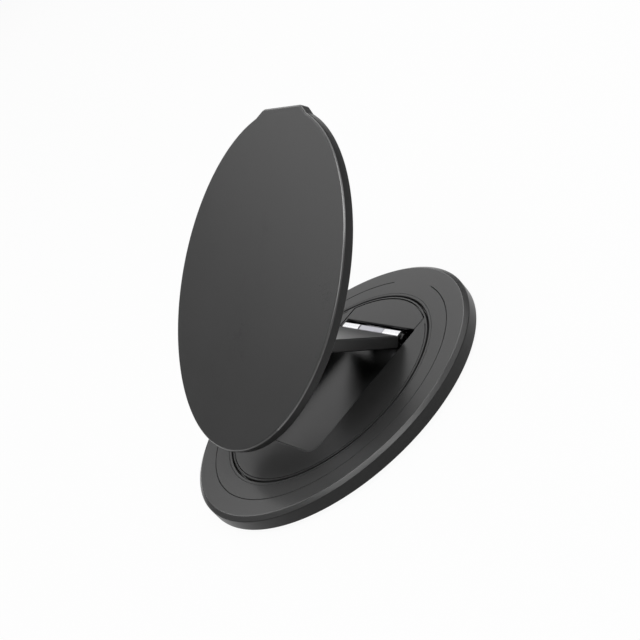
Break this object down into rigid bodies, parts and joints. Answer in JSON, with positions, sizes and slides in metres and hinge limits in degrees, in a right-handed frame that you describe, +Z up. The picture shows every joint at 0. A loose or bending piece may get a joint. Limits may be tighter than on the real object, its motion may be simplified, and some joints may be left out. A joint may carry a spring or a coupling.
{
  "type": "magnetic phone stand",
  "caption": "Folding phone stand: a thin round plate on a hinged arm that rises from a turntable in a round magnetic base ring and folds flat into it.",
  "frame": {"origin": "centre of the base ring's underside, on the surface that it stands on", "axes": "+Z up, X along the hinge pins, -Y towards the front, where the lower edge of the tilted plate is"},
  "size_m": [0.062, 0.062, 0.0462],
  "materials": {
    "shell": "satin dark grey, anodised",
    "hinge_steel": "polished",
    "hardware": "turned steel, black oxide",
    "magnet": "nickel plated",
    "closing_plate": "fine matt",
    "slip": "smooth, low friction",
    "pad": "soft matt silicone"
  },
  "bodies": {
    "base": {"ring_housing": "shell", "ring_cover": "closing_plate", "contact_pad": "pad", "ring_magnets": "magnet", "magnet_yoke": "hardware", "bezel_ring": "shell", "slip_washer": "slip"},
    "turntable": {"turntable": "shell", "hinge_cover": "shell", "base_hinge_leaf": "hinge_steel", "base_leaf_screws": "hardware"},
    "arm": {"fold_arm": "shell", "lower_arm_tongue": "hinge_steel", "lower_hinge_pin": "hinge_steel", "lower_friction_washers": "hardware", "lower_hinge_nut": "hardware", "upper_arm_tongue": "hinge_steel", "upper_hinge_pin": "hinge_steel", "upper_friction_washers": "hardware", "upper_hinge_nut": "hardware"},
    "plate": {"tilt_plate": "shell", "plate_hinge_leaf": "hinge_steel", "plate_leaf_screws": "hardware"}
  },
  "joints": [
    {"name": "turntable_spin", "type": "hinge", "parent": "base", "child": "turntable", "pos_m": [0, 0, 0], "axis": [0, 0, 1], "continuous": true},
    {"name": "arm_hinge", "type": "hinge", "parent": "turntable", "child": "arm", "pos_m": [0, 0.014, 0.00239], "axis": [-1, 0, 0], "range_deg": [-44.2, 45.8]},
    {"name": "plate_hinge", "type": "hinge", "parent": "arm", "child": "plate", "pos_m": [0, -0.00387, 0.01977], "axis": [1, 0, 0], "range_deg": [-78.74, 81.59]}
  ],
  "couplings": [
    {"joint": "plate_hinge", "follows": "arm_hinge", "ratio": 1.7814}
  ]
}
